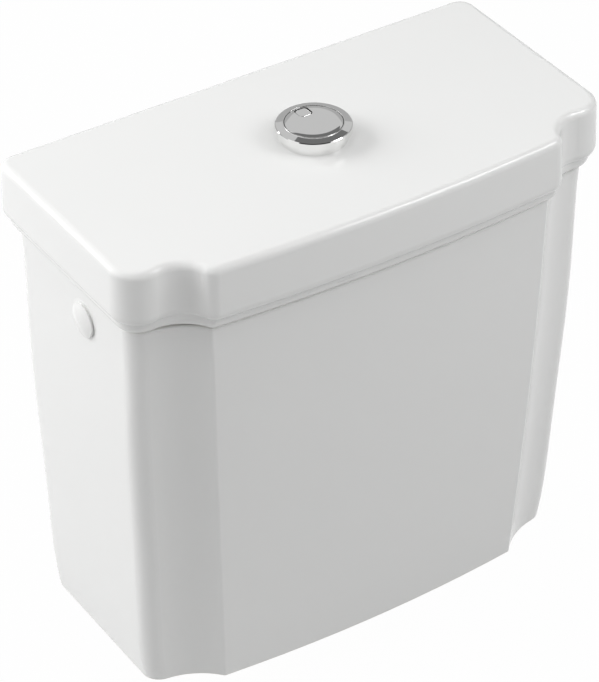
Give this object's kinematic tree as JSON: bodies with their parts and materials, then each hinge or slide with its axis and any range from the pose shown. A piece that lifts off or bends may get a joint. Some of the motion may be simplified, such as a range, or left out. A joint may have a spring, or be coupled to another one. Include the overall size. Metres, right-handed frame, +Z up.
{
  "type": "toilet cistern",
  "caption": "Ceramic close-coupled toilet cistern with bowed front, hollow corner flutes, stepped lid, chrome push buttons and its flush and fill valves inside.",
  "frame": {"origin": "on the flush outlet's axis, in the plane of the tank's underside", "axes": "+X is the right-hand side seen from the front, -Y is the front, +Z is up"},
  "size_m": [0.423, 0.2046, 0.4554],
  "materials": {
    "ceramic": "gloss",
    "chrome": "polished",
    "plug_plastic": "gloss",
    "white_plastic": "satin",
    "pale_plastic": "satin",
    "grey_plastic": "satin",
    "blue_plastic": "gloss",
    "green_plastic": "gloss",
    "black_rubber": "matte",
    "sponge_rubber": "matte",
    "clear_rubber": "satin",
    "red_rubber": "satin",
    "steel": "satin",
    "brass": "satin"
  },
  "bodies": {
    "cistern": {"tank": "ceramic", "lid_buffers": "clear_rubber", "side_hole_plug": "plug_plastic", "side_plug_washer": "black_rubber", "side_plug_nut": "white_plastic", "flush_valve_body": "white_plastic", "valve_base_washer": "black_rubber", "flush_valve_backnut": "white_plastic", "coupling_gasket": "sponge_rubber", "valve_tower": "pale_plastic", "lever_pin": "steel", "pan_bolts": "brass", "bolt_cone_washers": "black_rubber", "bolt_top_washers": "steel", "bolt_bottom_washers": "steel", "bolt_locknuts": "brass", "fill_valve_body": "white_plastic", "shank_gasket": "black_rubber", "shank_washer": "black_rubber", "shank_backnut": "white_plastic", "inlet_filter": "pale_plastic", "diaphragm": "red_rubber", "valve_cap": "blue_plastic", "arm_pivot_pin": "steel", "fill_tube": "pale_plastic"},
    "lid": {"lid": "ceramic", "button_housing": "chrome", "housing_gasket": "black_rubber", "housing_nut": "white_plastic", "full_button_spring": "steel", "half_button_spring": "steel"},
    "full_button": {"full_flush_button": "chrome", "full_flush_rod": "white_plastic"},
    "half_button": {"half_flush_button": "chrome", "half_flush_rod": "white_plastic"},
    "full_lever": {"full_flush_lever": "blue_plastic"},
    "half_lever": {"half_flush_lever": "green_plastic"},
    "valve_core": {"overflow_tube": "white_plastic", "flush_seal": "red_rubber", "flush_float": "pale_plastic"},
    "half_slide": {"half_flush_slide": "green_plastic"},
    "float_arm": {"float_arm": "white_plastic", "level_screw": "blue_plastic", "fill_float": "grey_plastic"},
    "plunger": {"plunger": "white_plastic"}
  },
  "joints": [
    {"name": "lid_lift", "type": "slide", "parent": "cistern", "child": "lid", "axis": [0, 0, 1], "range_m": [0, 0.13]},
    {"name": "full_flush_press", "type": "slide", "parent": "lid", "child": "full_button", "axis": [0, 0, -1], "range_m": [0, 0.006], "stiffness_N_per_m": 150, "springref_m": -0.01, "deforming": ["full_button_spring"]},
    {"name": "half_flush_press", "type": "slide", "parent": "lid", "child": "half_button", "axis": [0, 0, -1], "range_m": [0, 0.006], "stiffness_N_per_m": 150, "springref_m": -0.01, "deforming": ["half_button_spring"]},
    {"name": "full_lever_rock", "type": "hinge", "parent": "cistern", "child": "full_lever", "pos_m": [-0.012, -0.005, 0.293], "axis": [0, 1, 0], "range_deg": [0, 28.66]},
    {"name": "half_lever_rock", "type": "hinge", "parent": "cistern", "child": "half_lever", "pos_m": [-0.012, 0.0133, 0.293], "axis": [0, 1, 0], "range_deg": [0, 28.66]},
    {"name": "valve_core_lift", "type": "slide", "parent": "cistern", "child": "valve_core", "axis": [0, 0, 1], "range_m": [0, 0.00801]},
    {"name": "half_slide_lift", "type": "slide", "parent": "cistern", "child": "half_slide", "axis": [0, 0, 1], "range_m": [0, 0.00801]},
    {"name": "float_arm_swing", "type": "hinge", "parent": "cistern", "child": "float_arm", "pos_m": [0.11772, 0, 0.292], "axis": [0, 1, 0], "range_deg": [0, 18]},
    {"name": "plunger_push", "type": "slide", "parent": "cistern", "child": "plunger", "axis": [1, 0, 0], "range_m": [0, 0.00315]}
  ],
  "couplings": [
    {"joint": "full_lever_rock", "follows": "full_flush_press", "rad_per_m": 83.333},
    {"joint": "valve_core_lift", "follows": "full_flush_press", "ratio": 1.3333},
    {"joint": "half_lever_rock", "follows": "half_flush_press", "rad_per_m": 83.333},
    {"joint": "half_slide_lift", "follows": "half_flush_press", "ratio": 1.3333},
    {"joint": "plunger_push", "follows": "float_arm_swing", "m_per_rad": 0.01}
  ]
}
